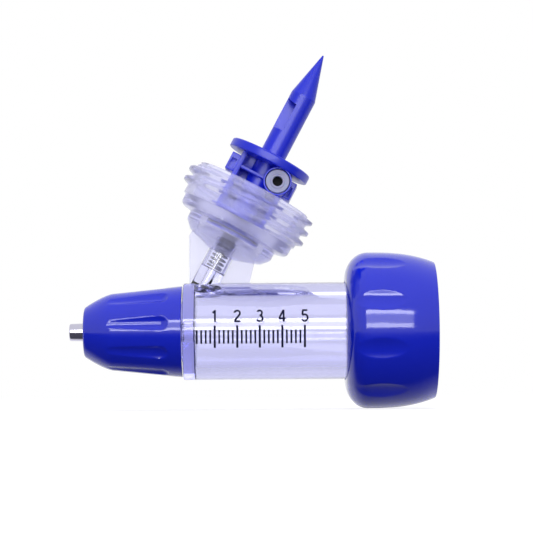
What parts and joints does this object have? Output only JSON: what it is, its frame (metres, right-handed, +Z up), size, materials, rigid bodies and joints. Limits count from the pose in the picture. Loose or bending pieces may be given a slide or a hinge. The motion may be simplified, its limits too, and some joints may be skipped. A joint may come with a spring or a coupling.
{
  "type": "automatic syringe head",
  "caption": "Clear syringe barrel with dose scale, leaning bottle cup with spike, fluted nose nut, luer tip and coupling nut; spring valves inside.",
  "frame": {"origin": "centre of the bounding box's base, below the middle of the part, level with the underside of the coupling nut", "axes": "+X along the barrel from the luer tip to the coupling nut, +Z up towards the bottle spike, the whole part being mirror-like about the plane Y = 0"},
  "size_m": [0.08, 0.0342, 0.0777],
  "materials": {
    "barrel": "clear injection moulded polycarbonate with a faint lavender cast",
    "luer_tip": "turned and plated brass, polished",
    "tip_washer": "plain black nitrile rubber",
    "nose_nut": "glossy blue moulded nylon",
    "outlet_valve": "natural white acetal",
    "outlet_seal": "black nitrile rubber",
    "outlet_spring": "stainless spring wire",
    "inlet_valve": "black rubber poppet",
    "inlet_seat": "translucent silicone rubber",
    "inlet_spring": "stainless spring wire",
    "bottle_spike": "glossy blue moulded nylon",
    "spike_o_ring": "black nitrile rubber",
    "vent_valve": "milky silicone rubber",
    "vent_filter": "dark open-cell foam",
    "coupling_nut": "glossy blue moulded nylon",
    "split_ring": "stainless flat wire",
    "rear_gasket": "black nitrile rubber",
    "piston_body": "natural white acetal",
    "piston_ring_front": "black nitrile rubber",
    "piston_ring_rear": "black nitrile rubber",
    "piston_insert": "turned brass, bright"
  },
  "bodies": {
    "head": {"barrel": "barrel", "bottle_spike": "bottle_spike", "spike_o_ring": "spike_o_ring", "vent_valve": "vent_valve", "vent_filter": "vent_filter", "inlet_seat": "inlet_seat", "inlet_spring": "inlet_spring", "split_ring": "split_ring", "rear_gasket": "rear_gasket"},
    "nose": {"luer_tip": "luer_tip", "tip_washer": "tip_washer", "outlet_spring": "outlet_spring"},
    "nose_nut": {"nose_nut": "nose_nut"},
    "outlet_valve": {"outlet_valve": "outlet_valve", "outlet_seal": "outlet_seal"},
    "inlet_valve": {"inlet_valve": "inlet_valve"},
    "coupling_nut": {"coupling_nut": "coupling_nut"},
    "piston": {"piston_body": "piston_body", "piston_ring_front": "piston_ring_front", "piston_ring_rear": "piston_ring_rear", "piston_insert": "piston_insert"}
  },
  "joints": [
    {"name": "piston_slide", "type": "slide", "parent": "head", "child": "piston", "axis": [-1, 0, 0], "range_m": [0, 0.033]},
    {"name": "nose_slide", "type": "slide", "parent": "head", "child": "nose", "axis": [-1, 0, 0], "range_m": [0, 0.012]},
    {"name": "nose_nut_spin", "type": "hinge", "parent": "nose", "child": "nose_nut", "pos_m": [-0.01452, 0, 0.0171], "axis": [-1, 0, 0], "range_deg": [0, 2880]},
    {"name": "outlet_valve_slide", "type": "slide", "parent": "nose", "child": "outlet_valve", "axis": [-1, 0, 0], "range_m": [0, 0.0012], "stiffness_N_per_m": 120, "deforming": ["outlet_spring"]},
    {"name": "inlet_valve_slide", "type": "slide", "parent": "head", "child": "inlet_valve", "axis": [-0.4695, 0, -0.8829], "range_m": [0, 0.0012], "stiffness_N_per_m": 80, "deforming": ["inlet_spring"]},
    {"name": "coupling_nut_spin", "type": "hinge", "parent": "head", "child": "coupling_nut", "pos_m": [-0.01452, 0, 0.0171], "axis": [1, 0, 0], "continuous": true}
  ],
  "couplings": [
    {"joint": "nose_nut_spin", "follows": "nose_slide", "rad_per_m": 4188.8}
  ]
}
